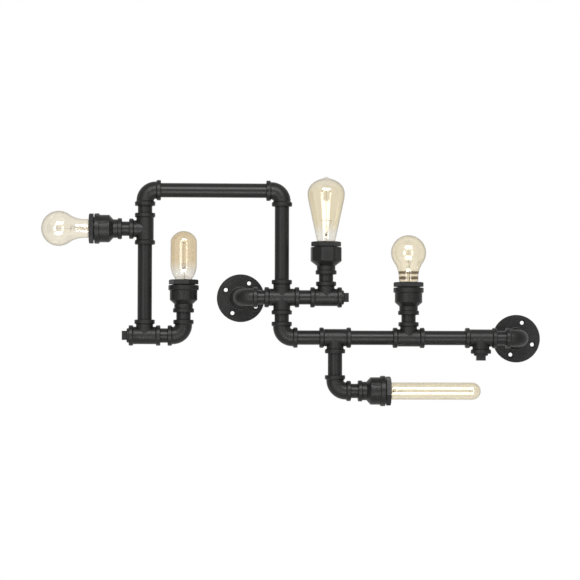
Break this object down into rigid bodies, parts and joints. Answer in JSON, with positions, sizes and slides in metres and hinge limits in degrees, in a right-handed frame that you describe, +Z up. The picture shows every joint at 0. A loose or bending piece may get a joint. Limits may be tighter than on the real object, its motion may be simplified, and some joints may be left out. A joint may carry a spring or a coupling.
{
  "type": "industrial pipe wall light",
  "caption": "Wall light built of threaded black pipe and malleable fittings on round wall flanges, with screw-cap bulbs of several shapes in reducing sockets.",
  "frame": {"origin": "centre of the left wall flange on the wall plane", "axes": "+Z up, +Y into the wall, +X to the right for someone facing the light"},
  "size_m": [0.8756, 0.0974, 0.3981],
  "materials": {
    "black_casting": "satin black powder coat over a grainy casting",
    "black_pipe": "satin black powder coat on drawn tube",
    "amber_glass": "clear blown glass with a pale amber tint",
    "bulb_cap": "bright rolled sheet",
    "brass_shell": "bright pressed sheet",
    "solder": "dull solder",
    "filament_wire": "dull fine wire",
    "black_phenolic": "moulded black phenolic",
    "lead_sheath": "dark grey sheath",
    "ivory_plastic": "ivory moulded plastic",
    "plated_steel": "zinc plated"
  },
  "bodies": {
    "pipework": {"left_wall_elbow": "black_casting", "right_wall_elbow": "black_casting", "top_right_elbow": "black_casting", "top_left_elbow": "black_casting", "corner_elbow": "black_casting", "lower_elbow": "black_casting", "drop_elbow": "black_casting", "cross": "black_casting", "left_tee": "black_casting", "corner_tee": "black_casting", "middle_tee": "black_casting", "drop_tee": "black_casting", "lamp_tee": "black_casting", "end_tee": "black_casting", "square_plugs": "black_casting", "left_flange": "black_casting", "right_flange": "black_casting", "lamp_cup_1": "black_casting", "lamp_cup_2": "black_casting", "lamp_cup_3": "black_casting", "lamp_cup_4": "black_casting", "lamp_cup_5": "black_casting", "hex_bushings": "black_casting", "riser_pipe": "black_pipe", "top_pipe": "black_pipe", "left_pipe": "black_pipe", "arm_nipple": "black_pipe", "lower_pipe_1": "black_pipe", "lower_pipe_2": "black_pipe", "lower_pipe_3": "black_pipe", "exit_nipple": "black_pipe", "drop_pipe": "black_pipe", "close_nipples": "black_pipe", "wall_nipples": "black_pipe", "lampholder_bodies": "black_phenolic", "lampholder_shells": "brass_shell", "lampholder_contacts": "brass_shell", "internal_leads": "lead_sheath", "terminal_block": "ivory_plastic", "terminal_screws": "plated_steel"},
    "bulb_1_contact": {"bulb_tip_1": "solder"},
    "bulb_1": {"bulb_glass_1": "amber_glass", "bulb_cap_1": "bulb_cap", "bulb_filament_1": "filament_wire"},
    "bulb_2_contact": {"bulb_tip_2": "solder"},
    "bulb_2": {"bulb_glass_2": "amber_glass", "bulb_cap_2": "bulb_cap", "bulb_filament_2": "filament_wire"},
    "bulb_3_contact": {"bulb_tip_3": "solder"},
    "bulb_3": {"bulb_glass_3": "amber_glass", "bulb_cap_3": "bulb_cap", "bulb_filament_3": "filament_wire"},
    "bulb_4_contact": {"bulb_tip_4": "solder"},
    "bulb_4": {"bulb_glass_4": "amber_glass", "bulb_cap_4": "bulb_cap", "bulb_filament_4": "filament_wire"},
    "bulb_5_contact": {"bulb_tip_5": "solder"},
    "bulb_5": {"bulb_glass_5": "amber_glass", "bulb_cap_5": "bulb_cap", "bulb_filament_5": "filament_wire"}
  },
  "joints": [
    {"name": "bulb_1_travel", "type": "slide", "parent": "pipework", "child": "bulb_1_contact", "axis": [-1, 0, 0], "range_m": [0, 0.0109]},
    {"name": "bulb_1_turn", "type": "hinge", "parent": "bulb_1_contact", "child": "bulb_1", "pos_m": [-0.2072, -0.065, 0.1177], "axis": [-1, 0, 0], "range_deg": [0, 1080]},
    {"name": "bulb_2_travel", "type": "slide", "parent": "pipework", "child": "bulb_2_contact", "axis": [0, 0, 1], "range_m": [0, 0.0109]},
    {"name": "bulb_2_turn", "type": "hinge", "parent": "bulb_2_contact", "child": "bulb_2", "pos_m": [-0.1003, -0.065, -0.0271], "axis": [0, 0, 1], "range_deg": [0, 1080]},
    {"name": "bulb_3_travel", "type": "slide", "parent": "pipework", "child": "bulb_3_contact", "axis": [0, 0, 1], "range_m": [0, 0.0109]},
    {"name": "bulb_3_turn", "type": "hinge", "parent": "bulb_3_contact", "child": "bulb_3", "pos_m": [0.1466, -0.065, 0.0398], "axis": [0, 0, 1], "range_deg": [0, 1080]},
    {"name": "bulb_4_travel", "type": "slide", "parent": "pipework", "child": "bulb_4_contact", "axis": [1, 0, 0], "range_m": [0, 0.0109]},
    {"name": "bulb_4_turn", "type": "hinge", "parent": "bulb_4_contact", "child": "bulb_4", "pos_m": [0.2022, -0.065, -0.162], "axis": [1, 0, 0], "range_deg": [0, 1080]},
    {"name": "bulb_5_travel", "type": "slide", "parent": "pipework", "child": "bulb_5_contact", "axis": [0, 0, 1], "range_m": [0, 0.0109]},
    {"name": "bulb_5_turn", "type": "hinge", "parent": "bulb_5_contact", "child": "bulb_5", "pos_m": [0.2902, -0.065, -0.03], "axis": [0, 0, 1], "range_deg": [0, 1080]}
  ],
  "couplings": [
    {"joint": "bulb_1_travel", "follows": "bulb_1_turn", "m_per_rad": 0.00057614},
    {"joint": "bulb_2_travel", "follows": "bulb_2_turn", "m_per_rad": 0.00057614},
    {"joint": "bulb_3_travel", "follows": "bulb_3_turn", "m_per_rad": 0.00057614},
    {"joint": "bulb_4_travel", "follows": "bulb_4_turn", "m_per_rad": 0.00057614},
    {"joint": "bulb_5_travel", "follows": "bulb_5_turn", "m_per_rad": 0.00057614}
  ]
}
